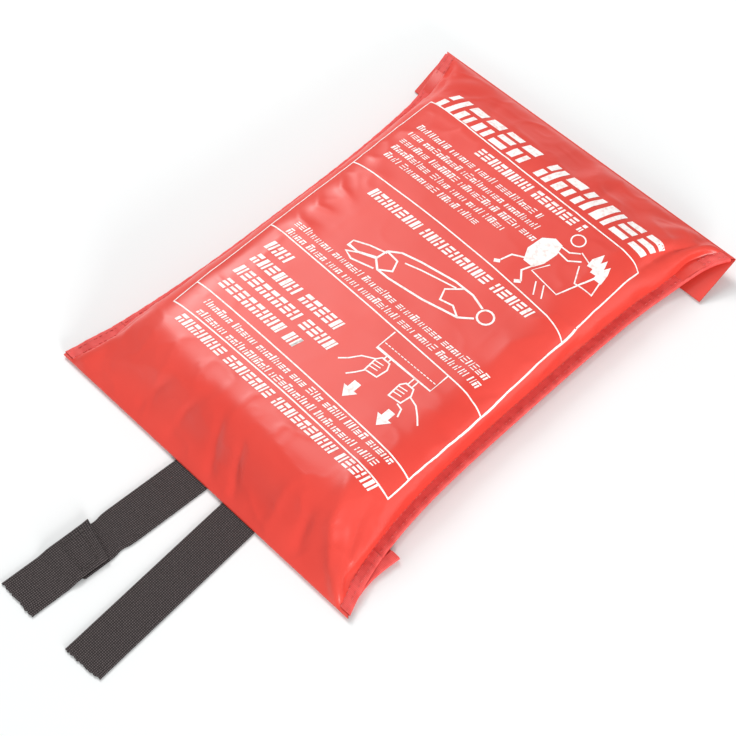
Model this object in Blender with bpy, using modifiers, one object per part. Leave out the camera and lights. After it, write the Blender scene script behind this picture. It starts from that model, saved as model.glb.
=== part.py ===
"""Fire blanket in a soft wall pouch, lying on its back.

Frame: origin in the middle of the pouch's flat back face, +Y towards the header that
the pouch hangs by, -Y towards the mouth and its two pull tapes, +Z through the front.

The pouch is a front and a back panel of coated fabric, joined by a bound seam on each
side.  The front panel's lower end folds under the mouth as a closure flap, and its upper
end folds down behind the pouch as a header flap with two eyelets.  The folded blanket
slides out of the mouth by its tapes and pushes the closure flap open.
"""
import math

import bmesh
import bpy
from mathutils import Matrix, Vector

# Pouch outline
HALF_LENGTH = 0.156           # middle of the pouch to the fold at either end
CORNER_HALF_WIDTH = 0.114     # at the four corners
WAIST_HALF_WIDTH = 0.097      # half way up, where the filling draws the sides in
FLARE_POWER = 7               # how late the sides flare out towards the corners

# Materials' thicknesses
FABRIC = 0.0006               # coated pouch fabric
WEBBING = 0.0012              # pull tape
PATCH = 0.00035               # hook or loop tape
THREAD_RADIUS = 0.00025
GAP = 0.0003                  # between pieces that touch

# Blanket pack
PACK_HALF_WIDTH = 0.0815
PACK_TOP = 0.0291
PACK_FRONT = 0.0305 - HALF_LENGTH
PACK_BACK = HALF_LENGTH - 0.038
PACK_EDGE_RADIUS = 0.0080

# Heights of the back panel's middle surface
BACK_FLAT_Z = FABRIC / 2
BACK_STEP_Z = 0.0034          # over the closure flap, and along the side seams
BACK_MOUTH_Y = 0.016 - HALF_LENGTH    # edge of the back panel at the mouth
STEP_START_Y = 0.052 - HALF_LENGTH
STEP_END_Y = 0.044 - HALF_LENGTH
BACK_HEADER_Y = HALF_LENGTH - 0.006   # edge of the back panel at the header
BACK_FLAT_HALF_WIDTH = 0.084  # the flat of the back face ends here

# Front panel
FRONT_TOP_Z = 0.0310
MOUTH_Y = 0.036 - HALF_LENGTH  # crease where the closure flap begins
MOUTH_GAP = 0.0006
HEADER_RISE_Y = HALF_LENGTH - 0.044   # from here both panels run to the header fold
HEADER_FOLD_Z = 0.0145
SEAM_WIDTH = 0.0065           # flat margin taken in by the binding
SEAM_Z = BACK_STEP_Z + FABRIC + GAP       # middle surface of the front's seam margin
FRONT_END_Y = HALF_LENGTH - 0.00165       # the header flap's fold begins here
# Share of the half width inside the seam margin, and share of the height, from the
# middle of the front out to the seam
FRONT_SECTION = ((0.0, 1.0), (0.42, 0.995), (0.70, 0.985), (0.82, 0.965), (0.895, 0.88),
                 (0.945, 0.70), (0.975, 0.36), (0.993, 0.09), (1.012, 0.0))

# Closure flap
FLAP_LENGTH = 0.043           # from the bottom fold to the flap's free edge
FLAP_MID_Z = 0.0012
FLAP_EDGE_HALF_WIDTH = 0.1085 # at the free edge
NOTCH_LEFT = -0.028           # the tapes leave through this notch
NOTCH_RIGHT = 0.052
CLOSURE_HINGE_Z = FRONT_TOP_Z + FABRIC / 2
# Distance from the mouth crease towards the bottom fold, and share of the height left
SLOPE_SECTION = ((0.0, 1.0), (0.11, 0.972), (0.22, 0.88), (0.36, 0.70), (0.52, 0.47),
                 (0.68, 0.25), (0.84, 0.08), (0.965, 0.0))

# Hook and loop patches
PATCH_INNER_X = 0.056
PATCH_OUTER_X = 0.098
PATCH_FRONT_Y = 0.017 - HALF_LENGTH
PATCH_BACK_Y = 0.037 - HALF_LENGTH

# Header flap
HEADER_FOLD_RADIUS = 0.0007
HEADER_HINGE = Vector((0, HALF_LENGTH - 0.0006, HEADER_FOLD_Z - HEADER_FOLD_RADIUS))
HEADER_FOLD_START_DEG = 120   # where the front panel goes over into the flap's fold
HEADER_FLAP_LENGTH = 0.0315
HEADER_FLAP_DROP_DEG = 203    # direction of the hanging flap, from +Y towards +Z
EYELET_X = 0.075
EYELET_FROM_FOLD = 0.0160
EYELET_BORE_RADIUS = 0.0050
EYELET_BARREL_WALL = 0.0007
EYELET_FLANGE_RADIUS = 0.0090
WASHER_RADIUS = 0.0085
METAL = 0.0005

# Side bindings and the seams' threads
BINDING_END_Y = HALF_LENGTH - 0.039
BINDING_START_Y = 0.0375 - HALF_LENGTH
BINDING = 0.0006

# Pull tapes
TAPE_WIDTH = 0.025
LEFT_TAPE_X = -0.0062         # where each tape leaves the pouch
RIGHT_TAPE_X = 0.0312
LEFT_TAPE_DRIFT = 0.040       # sideways per metre outwards, towards -X
RIGHT_TAPE_DRIFT = -0.057
TAPE_END_Y = -HALF_LENGTH - 0.1125
LAP_INNER_Y = -HALF_LENGTH - 0.061  # inner end of the piece sewn on to the left tape
LAP_OUTER_Y = -HALF_LENGTH - 0.081  # outer end of the left tape, under that piece
TAPE_END_DRIFT = 0.060
TAPE_FLOOR_Z = 0.0008
TAPE_STITCHED_TOP_Z = 0.0205  # upper end of a tape, sewn on the blanket's front edge

# Rows of points up the pouch, which all its sheets share
STATIONS = (-HALF_LENGTH, 0.008 - HALF_LENGTH, BACK_MOUTH_Y, BACK_MOUTH_Y + 0.010, MOUTH_Y, STEP_END_Y,
            STEP_END_Y + 0.004, STEP_START_Y, -0.066, -0.022, 0.026, 0.070, HEADER_RISE_Y - 0.004,
            HEADER_RISE_Y + 0.005, HEADER_RISE_Y + 0.014, HEADER_RISE_Y + 0.023, HEADER_RISE_Y + 0.031,
            BACK_HEADER_Y, FRONT_END_Y, HALF_LENGTH)

PIECES = bpy.data.collections.new("fire_blanket")


def clear_scene():
    for old in list(bpy.data.objects):
        bpy.data.objects.remove(old, do_unlink=True)
    bpy.context.scene.collection.children.link(PIECES)


def material(name, colour, roughness, metallic=0.0):
    made = bpy.data.materials.get(name)
    if made:
        return made
    made = bpy.data.materials.new(name)
    made.use_nodes = True
    shader = made.node_tree.nodes["Principled BSDF"]
    shader.inputs["Base Color"].default_value = (*colour, 1)
    shader.inputs["Roughness"].default_value = roughness
    shader.inputs["Metallic"].default_value = metallic
    return made


def red_fabric():
    return material("red_coated_fabric", (0.78, 0.08, 0.05), 0.45)


def red_binding():
    return material("red_binding_tape", (0.80, 0.12, 0.12), 0.55)


def black_webbing():
    return material("black_webbing", (0.035, 0.032, 0.032), 0.85)


def white_glass_cloth():
    return material("white_glass_cloth", (0.80, 0.79, 0.75), 0.80)


def hook_and_loop():
    return material("black_hook_and_loop", (0.02, 0.02, 0.02), 0.95)


def plated_brass():
    return material("nickel_plated_brass", (0.72, 0.71, 0.69), 0.25, 1.0)


def red_thread():
    return material("red_thread", (0.85, 0.20, 0.20), 0.70)


def black_thread():
    return material("black_thread", (0.05, 0.05, 0.05), 0.70)


def take(obj, name, skin):
    """Name an object, give it its material and put it in the pieces' collection."""
    obj.name = name
    obj.data.name = name
    obj.data.materials.clear()
    obj.data.materials.append(skin)
    for home in list(obj.users_collection):
        home.objects.unlink(obj)
    PIECES.objects.link(obj)
    return obj


def move_origin(obj, point):
    """Put a moving piece's origin on its joint's axis, leaving its shape in place."""
    obj.data.transform(Matrix.Translation(-Vector(point)))
    obj.location = point


def ramp(value, low, high):
    """0 below low, 1 above high, and a smooth step between."""
    share = min(max((value - low) / (high - low), 0), 1)
    return share * share * (3 - 2 * share)


def read(section, share):
    """Height of a section, a list of (share, height) pairs, at a share."""
    for (left, low), (right, high) in zip(section, section[1:]):
        if share <= right:
            return low + (high - low) * (share - left) / (right - left)
    return section[-1][1]


def half_width(y):
    """Half width of the pouch, straight from each station to the next."""
    flares = [(station, (abs(station) / HALF_LENGTH) ** FLARE_POWER) for station in STATIONS]
    return WAIST_HALF_WIDTH + (CORNER_HALF_WIDTH - WAIST_HALF_WIDTH) * read(flares, y)


def rows_between(start, end):
    return [start] + [station for station in STATIONS if start < station < end] + [end]


def header_share(y):
    """How far both panels have come to the header fold's height, from 0 to 1."""
    return ramp(y, HEADER_RISE_Y, FRONT_END_Y)



def sheet(name, columns, rows, place, thickness, skin, keep=None):
    """A sheet of cloth: a grid laid out by place(column, row), then given its thickness."""
    bpy.ops.mesh.primitive_grid_add(x_subdivisions=columns - 1, y_subdivisions=rows - 1, size=1)
    obj = take(bpy.context.object, name, skin)
    for point in obj.data.vertices:
        column = round((point.co.x + 0.5) * (columns - 1))
        row = round((point.co.y + 0.5) * (rows - 1))
        point.co = place(column, row)
    if keep:
        cloth = bmesh.new()
        cloth.from_mesh(obj.data)
        spare = [face for face in cloth.faces if not keep(face.calc_center_median())]
        bmesh.ops.delete(cloth, geom=spare, context="FACES")
        cloth.to_mesh(obj.data)
        cloth.free()
    wall = obj.modifiers.new("thickness", "SOLIDIFY")
    wall.thickness = thickness
    wall.offset = 0
    wall.use_even_offset = True
    return obj


def mirrored_shares(section):
    """The shares of a half section, from the left edge to the right one."""
    half = [share for share, height in section]
    return [-share for share in reversed(half[1:])] + half


def section_x(share, y):
    """Across the front at a share of the width inside the seam; past 1 is the seam margin."""
    inner = half_width(y) - SEAM_WIDTH
    size = abs(share)
    if size > FRONT_SECTION[-2][0]:
        rest = (size - FRONT_SECTION[-2][0]) / (FRONT_SECTION[-1][0] - FRONT_SECTION[-2][0])
        return math.copysign(inner * FRONT_SECTION[-2][0] + rest * 0.0015, share)
    return inner * share


FRONT_SHARES = mirrored_shares(FRONT_SECTION)


def front_columns(y, top):
    """Points across the front at one y, out to both edges, for a crest height of top."""
    low = SEAM_Z
    points = [Vector((-half_width(y), y, low))]
    for share in FRONT_SHARES:
        points.append(Vector((section_x(share, y), y, low + (top - low) * read(FRONT_SECTION, abs(share)))))
    points.append(Vector((half_width(y), y, low)))
    return points


def make_front_panel():
    """Front panel, from the mouth crease over the pack and up to the header fold."""
    stations = rows_between(MOUTH_Y, FRONT_END_Y)

    def place(column, row):
        y = stations[row]
        across = front_columns(y, FRONT_TOP_Z)[column]
        across.z += (HEADER_FOLD_Z - across.z) * header_share(y)
        return across

    return sheet("front_panel", len(FRONT_SHARES) + 2, len(stations), place, FABRIC, red_fabric())


def back_z(x, y):
    """Middle surface of the back panel."""
    margin = half_width(y) - SEAM_WIDTH
    curl = ramp(abs(x), BACK_FLAT_HALF_WIDTH, max(margin, BACK_FLAT_HALF_WIDTH + 0.004))
    step = ramp(-y, -STEP_START_Y, -STEP_END_Y)
    low = BACK_FLAT_Z + (BACK_STEP_Z - BACK_FLAT_Z) * max(curl, step)
    high = HEADER_FOLD_Z - FABRIC - GAP
    return low + (high - low) * header_share(y)


def make_back_panel():
    """Back panel, flat where the pouch rests, raised over the closure flap."""
    stations = rows_between(BACK_MOUTH_Y, BACK_HEADER_Y)

    def place(column, row):
        y = stations[row]
        edge = half_width(y)
        margin = edge - SEAM_WIDTH
        middle = (BACK_FLAT_HALF_WIDTH + margin) / 2
        half = [BACK_FLAT_HALF_WIDTH, middle, margin, edge]
        x = ([-place_x for place_x in reversed(half)] + half)[column]
        return Vector((x, y, back_z(x, y)))

    return sheet("back_panel", 8, len(stations), place, FABRIC, red_fabric())


def make_side_binding(name, side):
    """Tape folded round both panels' edges along one side seam."""
    stations = rows_between(BINDING_START_Y, BINDING_END_Y)
    low = BACK_STEP_Z - FABRIC - GAP
    high = SEAM_Z + FABRIC + GAP
    web = GAP + BINDING / 2
    # Round the edge, from the inner end of the upper leg to that of the lower one
    around = ((-SEAM_WIDTH + 0.0015, high), (web - 0.0004, high), (web, high - 0.0005),
              (web, low + 0.0005), (web - 0.0004, low), (-SEAM_WIDTH + 0.0015, low))

    def place(column, row):
        y = stations[row]
        out, z = around[column]
        lift = back_z(half_width(y), y) - BACK_STEP_Z
        return Vector((side * (half_width(y) + out), y, z + lift))

    return sheet(name, len(around), len(stations), place, BINDING - 0.0001, red_binding())


def thread(name, points, skin, closed=False):
    """A sewing thread through a row of points."""
    line = bpy.data.curves.new(name, "CURVE")
    line.dimensions = "3D"
    line.bevel_depth = THREAD_RADIUS
    line.bevel_resolution = 1
    line.use_fill_caps = True
    spline = line.splines.new("POLY")
    spline.points.add(len(points) - 1)
    for knot, point in zip(spline.points, points):
        knot.co = (*point, 1)
    spline.use_cyclic_u = closed
    obj = bpy.data.objects.new(name, line)
    bpy.context.scene.collection.objects.link(obj)
    return take(obj, name, skin)


def make_seam_thread(name, side):
    """The stitching that holds one side binding, lying on its upper leg."""
    inset = SEAM_WIDTH - 0.0030
    z = SEAM_Z + FABRIC + GAP + BINDING / 2 + GAP + THREAD_RADIUS
    points = []
    for y in rows_between(BINDING_START_Y + 0.001, BINDING_END_Y - 0.001):
        lift = back_z(half_width(y), y) - BACK_STEP_Z
        points.append(Vector((side * (half_width(y) - inset), y, z + lift)))
    return thread(name, points, red_thread())


def patch(name, side, z, skin):
    """A piece of hook or loop tape, flat under the mouth."""
    bpy.ops.mesh.primitive_cube_add(size=1)
    obj = take(bpy.context.object, name, skin)
    size = Vector((PATCH_OUTER_X - PATCH_INNER_X, PATCH_BACK_Y - PATCH_FRONT_Y, PATCH))
    middle = Vector((side * (PATCH_INNER_X + PATCH_OUTER_X) / 2, (PATCH_BACK_Y + PATCH_FRONT_Y) / 2, z))
    obj.data.transform(Matrix.Translation(middle) @ Matrix.Diagonal((*size, 1)))
    return obj


def closure_hinge():
    return Vector((0, MOUTH_Y, CLOSURE_HINGE_Z))


def flap_half_width(y):
    """Half width of the flap under the mouth, at a distance back from the bottom fold."""
    back = (y + HALF_LENGTH) / FLAP_LENGTH
    return CORNER_HALF_WIDTH + (FLAP_EDGE_HALF_WIDTH - CORNER_HALF_WIDTH) * back


def make_closure_flap():
    """Lower end of the front panel: a slope over the pack's end, the bottom fold, and a
    flap that lies under the mouth on both sides of the tapes."""
    fold_top = FLAP_MID_Z + 0.0014
    start = MOUTH_Y - MOUTH_GAP
    columns = []
    for share in FRONT_SHARES:
        columns.append(share)
    slope = []
    for run, height in SLOPE_SECTION:
        slope.append((start + (-HALF_LENGTH + 0.0008 - start) * run, height))
    turn = 4
    under = [HALF_LENGTH - inward for inward in (0.0008, 0.0080, 0.0175, 0.0300, FLAP_LENGTH)]
    rows = len(slope) + turn - 1 + len(under)
    radius = (fold_top - FLAP_MID_Z) / 2

    def place(column, row):
        if row < len(slope):
            y, height = slope[row]
            point = front_columns(y, FRONT_TOP_Z)[column]
            drop = ramp(-y, -BACK_MOUTH_Y + 0.002, HALF_LENGTH - 0.001)
            low = SEAM_Z + (fold_top - SEAM_Z) * drop
            point.z = low + (point.z - SEAM_Z) * height
            return point
        share = front_columns(-HALF_LENGTH, FRONT_TOP_Z)[column].x / CORNER_HALF_WIDTH
        if row < len(slope) + turn - 1:
            angle = math.pi * (row - len(slope) + 1) / turn
            y = -HALF_LENGTH + radius + 0.0001 - radius * math.sin(angle)
            return Vector((share * CORNER_HALF_WIDTH, y, FLAP_MID_Z + radius + radius * math.cos(angle)))
        y = -under[row - len(slope) - turn + 1]
        return Vector((share * flap_half_width(y), y, FLAP_MID_Z))

    def keep(middle):
        is_under = middle.z < FLAP_MID_Z + radius
        return not (is_under and NOTCH_LEFT < middle.x < NOTCH_RIGHT)

    obj = sheet("closure_flap", len(columns) + 2, rows, place, FABRIC, red_fabric(), keep)
    move_origin(obj, closure_hinge())
    return obj


def make_flap_hem(name, side):
    """Tape folded round one side edge of the flap under the mouth."""
    count = 5
    low = FLAP_MID_Z - FABRIC - GAP + 0.00003
    high = FLAP_MID_Z + FABRIC + GAP
    web = GAP + BINDING / 2
    around = ((-0.0050, high), (web - 0.0004, high), (web, high - 0.0005),
              (web, low + 0.0005), (web - 0.0004, low), (-0.0050, low))
    start = -HALF_LENGTH + 0.0050
    end = -HALF_LENGTH + FLAP_LENGTH - 0.0005

    def place(column, row):
        y = start + (end - start) * row / (count - 1)
        out, z = around[column]
        return Vector((side * (flap_half_width(y) + out), y, z))

    obj = sheet(name, len(around), count, place, BINDING - 0.0001, red_binding())
    move_origin(obj, closure_hinge())
    return obj


def header_direction():
    angle = math.radians(HEADER_FLAP_DROP_DEG)
    return Vector((0, math.cos(angle), math.sin(angle)))


def header_normal():
    """Away from the pouch, out of the hanging flap's lower face."""
    along = header_direction()
    return Vector((0, -along.z, along.y)) * -1 if along.y > 0 else Vector((0, -along.z, along.y))


def header_point(along, out=0.0, x=0.0):
    """A point on the flap: a distance along it from the fold, and out of its lower face."""
    start = HEADER_HINGE + header_normal() * HEADER_FOLD_RADIUS
    return start + header_direction() * along + header_normal() * out + Vector((x, 0, 0))


def make_header_flap():
    """Upper end of the front panel, folded down behind the pouch, with two eyelet holes."""
    turn = 6
    runs = [0.0, 0.008, 0.0165, 0.0235, HEADER_FLAP_LENGTH]
    first = math.radians(HEADER_FOLD_START_DEG)
    last = math.radians(HEADER_FLAP_DROP_DEG + 90 - 360)
    outer = [0.020, EYELET_X - 0.015, EYELET_X, EYELET_X + 0.015, CORNER_HALF_WIDTH]
    across = [-x for x in reversed(outer)] + outer

    def place(column, row):
        x = across[column]
        if row < turn:
            angle = first + (last - first) * row / turn
            spoke = Vector((0, math.cos(angle), math.sin(angle))) * HEADER_FOLD_RADIUS
            return HEADER_HINGE + spoke + Vector((x, 0, 0))
        return header_point(runs[row - turn], 0, x)

    obj = sheet("header_flap", len(across), turn + len(runs), place, FABRIC, red_fabric())
    cut_eyelet_holes(obj)
    move_origin(obj, HEADER_HINGE)
    return obj


def eyelet_frame(side):
    """Axis system of one eyelet: its local +Z comes out of the flap's lower face."""
    along = header_direction()
    normal = header_normal()
    sideways = along.cross(normal)
    turn = Matrix((sideways, along, normal)).transposed().to_4x4()
    return Matrix.Translation(header_point(EYELET_FROM_FOLD, 0, side * EYELET_X)) @ turn


def cut_eyelet_holes(flap):
    hole_radius = EYELET_BORE_RADIUS + EYELET_BARREL_WALL + GAP
    cutters = bpy.data.collections.new("cutters")
    bpy.context.scene.collection.children.link(cutters)
    for side, word in ((-1, "left"), (1, "right")):
        bpy.ops.mesh.primitive_cylinder_add(vertices=24, radius=hole_radius, depth=0.006)
        cutter = bpy.context.object
        cutter.name = f"{word}_eyelet_hole_cutter"
        cutter.data.transform(eyelet_frame(side))
        cutter.hide_render = True
        cutter.display_type = "WIRE"
        for home in list(cutter.users_collection):
            home.objects.unlink(cutter)
        cutters.objects.link(cutter)
        cut = flap.modifiers.new(f"{word}_eyelet_hole", "BOOLEAN")
        cut.object = cutter
        cut.operation = "DIFFERENCE"
        cut.solver = "EXACT"


def turned(name, profile, frame, skin, steps=24):
    """A closed profile of (radius, height) points, turned about local +Z."""
    mesh = bpy.data.meshes.new(name)
    count = len(profile)
    edges = [(i, (i + 1) % count) for i in range(count)]
    mesh.from_pydata([(radius, 0, height) for radius, height in profile], edges, [])
    obj = bpy.data.objects.new(name, mesh)
    bpy.context.scene.collection.objects.link(obj)
    screw = obj.modifiers.new("turn", "SCREW")
    screw.axis = "Z"
    screw.angle = math.tau
    screw.steps = steps
    screw.render_steps = steps
    screw.use_merge_vertices = True
    screw.merge_threshold = 0.00001
    finished = bpy.data.meshes.new_from_object(obj.evaluated_get(bpy.context.evaluated_depsgraph_get()))
    bpy.data.objects.remove(obj)
    ring = bmesh.new()
    ring.from_mesh(finished)
    bmesh.ops.recalc_face_normals(ring, faces=ring.faces)
    ring.to_mesh(finished)
    ring.free()
    finished.transform(frame)
    obj = bpy.data.objects.new(name, finished)
    bpy.context.scene.collection.objects.link(obj)
    take(obj, name, skin)
    finished.shade_smooth()
    finished.set_sharp_from_angle(angle=math.radians(35))
    move_origin(obj, HEADER_HINGE)
    return obj


def make_eyelet(word, side):
    """A two-part eyelet: a flanged barrel from the flap's lower face, set over a washer."""
    frame = eyelet_frame(side)
    bore = EYELET_BORE_RADIUS
    barrel = bore + EYELET_BARREL_WALL
    face = FABRIC / 2 + GAP
    washer_top = face + METAL
    lip = washer_top + GAP
    turned(f"{word}_eyelet",
           [(bore, face + METAL), (EYELET_FLANGE_RADIUS, face + METAL), (EYELET_FLANGE_RADIUS, face),
            (barrel, face), (barrel, -lip), (barrel + 0.0012, -lip), (barrel + 0.0012, -lip - METAL),
            (bore, -lip - METAL)],
           frame, plated_brass())
    turned(f"{word}_eyelet_washer",
           [(barrel + GAP, -face), (WASHER_RADIUS, -face), (WASHER_RADIUS, -washer_top),
            (barrel + GAP, -washer_top)],
           frame, plated_brass())


def make_pack():
    """The glass cloth blanket, folded to fit the pouch."""
    bottom = BACK_STEP_Z + FABRIC / 2 + GAP
    bpy.ops.mesh.primitive_cube_add(size=1)
    obj = take(bpy.context.object, "folded_blanket", white_glass_cloth())
    size = Vector((2 * PACK_HALF_WIDTH, PACK_BACK - PACK_FRONT, PACK_TOP - bottom))
    middle = Vector((0, (PACK_BACK + PACK_FRONT) / 2, (PACK_TOP + bottom) / 2))
    obj.data.transform(Matrix.Translation(middle) @ Matrix.Diagonal((*size, 1)))
    rounded = obj.modifiers.new("folded_edges", "BEVEL")
    rounded.width = PACK_EDGE_RADIUS
    rounded.segments = 3
    rounded.limit_method = "NONE"
    return obj


def tape_x(start_x, drift, y):
    return start_x + drift * (y + HALF_LENGTH)


def tape_path(end_y):
    """Middle line of a tape in the YZ plane: flat on the floor, up on to the back panel's
    edge, and up the front edge of the pack."""
    on_panel = BACK_STEP_Z + FABRIC / 2 + GAP + WEBBING / 2
    face_y = PACK_FRONT - GAP - WEBBING / 2
    bend = 0.004
    lift_y = 0.003 - HALF_LENGTH
    path = [(end_y, TAPE_FLOOR_Z), (lift_y - 0.042, TAPE_FLOOR_Z), (lift_y, TAPE_FLOOR_Z)]
    for step in range(1, 5):
        share = ramp(step, 0, 4)
        path.append((lift_y + 0.0105 * step / 4, TAPE_FLOOR_Z + (on_panel - TAPE_FLOOR_Z) * share))
    corner = Vector((face_y - bend, on_panel + bend))
    for step in range(5):
        angle = math.radians(-90 + 90 * step / 4)
        path.append((corner.x + bend * math.cos(angle), corner.y + bend * math.sin(angle)))
    path.append((face_y, TAPE_STITCHED_TOP_Z))
    return path


def make_tape(name, path, start_x, drift):
    """A flat strip of webbing along a path in the YZ plane."""
    def place(column, row):
        y, z = path[row]
        outside = min(y, -HALF_LENGTH)
        middle = tape_x(start_x, drift, outside)
        return Vector((middle + (column - 0.5) * TAPE_WIDTH, y, z))

    return sheet(name, 2, len(path), place, WEBBING, black_webbing())


def make_tape_end():
    """The piece sewn over the end of the left tape, which then drops to the floor."""
    raised = TAPE_FLOOR_Z + WEBBING + GAP
    path = [(TAPE_END_Y, TAPE_FLOOR_Z), (LAP_OUTER_Y - 0.008, TAPE_FLOOR_Z)]
    for step in range(1, 5):
        y = LAP_OUTER_Y - 0.008 + 0.007 * step / 4
        path.append((y, TAPE_FLOOR_Z + (raised - TAPE_FLOOR_Z) * ramp(step, 0, 4)))
    path.append((LAP_INNER_Y, raised))
    start_x = tape_x(LEFT_TAPE_X, LEFT_TAPE_DRIFT, LAP_INNER_Y)
    at_fold = start_x - TAPE_END_DRIFT * (LAP_INNER_Y + HALF_LENGTH)
    return make_tape("left_tape_end", path, at_fold, TAPE_END_DRIFT)


def make_lap_thread():
    """Rectangle of stitches through both pieces of the left tape, on the upper one."""
    z = TAPE_FLOOR_Z + WEBBING + GAP + WEBBING / 2 + GAP + THREAD_RADIUS
    centre = tape_x(LEFT_TAPE_X, LEFT_TAPE_DRIFT, LAP_INNER_Y)
    half = TAPE_WIDTH / 2 - 0.003
    near = LAP_INNER_Y - 0.003
    far = LAP_OUTER_Y + 0.004
    corners = [(-half, near), (half, near), (half, far), (-half, far)]
    points = [Vector((centre + x, y, z)) for x, y in corners]
    return thread("left_tape_lap_thread", points, black_thread(), closed=True)


def make_box_thread(name, start_x):
    """Rectangle of stitches that holds a tape on the blanket's front edge."""
    y = PACK_FRONT - GAP - WEBBING - GAP - THREAD_RADIUS
    half = TAPE_WIDTH / 2 - 0.003
    low = 0.0115
    high = TAPE_STITCHED_TOP_Z - 0.002
    corners = [(-half, low), (half, low), (half, high), (-half, high)]
    points = [Vector((start_x + x, y, z)) for x, z in corners]
    return thread(name, points, black_thread(), closed=True)


def build():
    clear_scene()
    make_front_panel()
    make_back_panel()
    make_closure_flap()
    make_header_flap()
    make_pack()
    hook_z = FLAP_MID_Z + FABRIC / 2 + GAP + PATCH / 2
    loop_z = BACK_STEP_Z - FABRIC / 2 - GAP - PATCH / 2
    for side, word in ((-1, "left"), (1, "right")):
        make_side_binding(f"{word}_side_binding", side)
        make_seam_thread(f"{word}_seam_thread", side)
        make_flap_hem(f"{word}_flap_hem", side)
        patch(f"{word}_loop_patch", side, loop_z, hook_and_loop())
        move_origin(patch(f"{word}_hook_patch", side, hook_z, hook_and_loop()), closure_hinge())
        make_eyelet(word, side)
    make_tape("left_pull_tape", tape_path(LAP_OUTER_Y), LEFT_TAPE_X, LEFT_TAPE_DRIFT)
    make_tape("right_pull_tape", tape_path(TAPE_END_Y), RIGHT_TAPE_X, RIGHT_TAPE_DRIFT)
    make_tape_end()
    make_lap_thread()
    make_box_thread("left_tape_box_thread", LEFT_TAPE_X)
    make_box_thread("right_tape_box_thread", RIGHT_TAPE_X)


build()
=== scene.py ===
import math

import bpy
import numpy as np
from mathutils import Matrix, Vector
from mathutils.bvhtree import BVHTree


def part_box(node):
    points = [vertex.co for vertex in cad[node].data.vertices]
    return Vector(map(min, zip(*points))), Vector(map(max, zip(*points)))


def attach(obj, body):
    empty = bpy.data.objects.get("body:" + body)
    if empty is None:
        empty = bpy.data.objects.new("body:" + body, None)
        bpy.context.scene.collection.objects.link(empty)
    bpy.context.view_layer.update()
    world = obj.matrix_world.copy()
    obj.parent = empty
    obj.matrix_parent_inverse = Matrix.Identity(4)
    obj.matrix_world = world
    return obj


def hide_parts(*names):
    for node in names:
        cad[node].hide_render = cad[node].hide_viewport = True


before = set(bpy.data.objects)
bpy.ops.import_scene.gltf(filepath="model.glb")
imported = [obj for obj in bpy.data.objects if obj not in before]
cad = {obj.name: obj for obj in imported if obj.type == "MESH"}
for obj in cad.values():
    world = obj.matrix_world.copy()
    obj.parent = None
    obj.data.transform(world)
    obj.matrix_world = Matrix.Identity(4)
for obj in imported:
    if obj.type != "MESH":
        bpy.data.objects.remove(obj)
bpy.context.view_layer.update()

# ---------------------------------------------------------------------------
# Camera, table top and light: the pouch lies face up and is looked at from its right
# and from the mouth's end, a little above 45 degrees, on a white table in a bright
# room. Two soft lamps stand high on its left and a third one low on its right.
TARGET = Vector((0.0119, -0.0400, 0.0))
CAMERA_DISTANCE = 0.954
CAMERA_HEIGHT_DEG = 56.7
CAMERA_TURN_DEG = 45.2
LENS_MM = 83.2


def linear(hex_colour):
    """An sRGB hex colour as linear red, green, blue and alpha."""
    values = [int(hex_colour[i:i + 2], 16) / 255 for i in (1, 3, 5)]
    return (*[v / 12.92 if v <= 0.04045 else ((v + 0.055) / 1.055) ** 2.4 for v in values], 1.0)


def new_material(name):
    """A material, its Principled shader, and ways to add a node, paint it and emboss it."""
    made = bpy.data.materials.new(name)
    made.use_nodes = True
    tree = made.node_tree
    shader = next(n for n in tree.nodes if n.type == "BSDF_PRINCIPLED")

    def add(kind, settings=None, **links):
        """A node with its settings. A link is a socket, a value, a node (its factor or first
        output), or "cut" or "object", the place on the flat cut or in the object."""
        node = tree.nodes.new(kind)
        for key, value in (settings or {}).items():
            if hasattr(node, key):
                setattr(node, key, value)
            else:
                node.inputs[key].default_value = value
        for key, source in links.items():
            place = node.inputs[int(key[1:])] if key[0] == "i" and key[1:].isdigit() else node.inputs[key]
            if source == "object":
                source = add("ShaderNodeTexCoord").outputs["Object"]
            elif source == "cut":
                source = add("ShaderNodeUVMap", {"uv_map": "cut"})
            if isinstance(source, bpy.types.Node):
                source = source.outputs.get("Fac") or source.outputs[0]
            if isinstance(source, (int, float, tuple)):
                place.default_value = source
            else:
                tree.links.new(source, place)
        return node

    def paint(source, *stops):
        """The base colour, from a ramp of (place, colour) stops."""
        node = add("ShaderNodeValToRGB", Fac=source)
        while len(node.color_ramp.elements) < len(stops):
            node.color_ramp.elements.new(0.5)
        for element, (place, colour) in zip(node.color_ramp.elements, stops):
            element.position = place
            element.color = linear(colour)
        tree.links.new(node.outputs["Color"], shader.inputs["Base Color"])

    def emboss(strength, distance, height, invert=False):
        """The fine relief of the surface."""
        settings = {"Strength": strength, "Distance": distance, "invert": invert}
        bump = add("ShaderNodeBump", settings, Height=height)
        tree.links.new(bump.outputs["Normal"], shader.inputs["Normal"])

    return made, shader, add, paint, emboss


def link_piece(name, mesh, material=None, smooth=True):
    obj = bpy.data.objects.new(name, mesh)
    bpy.context.scene.collection.objects.link(obj)
    if material:
        mesh.materials.append(material)
    if smooth:
        mesh.shade_smooth()
    return obj


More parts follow.
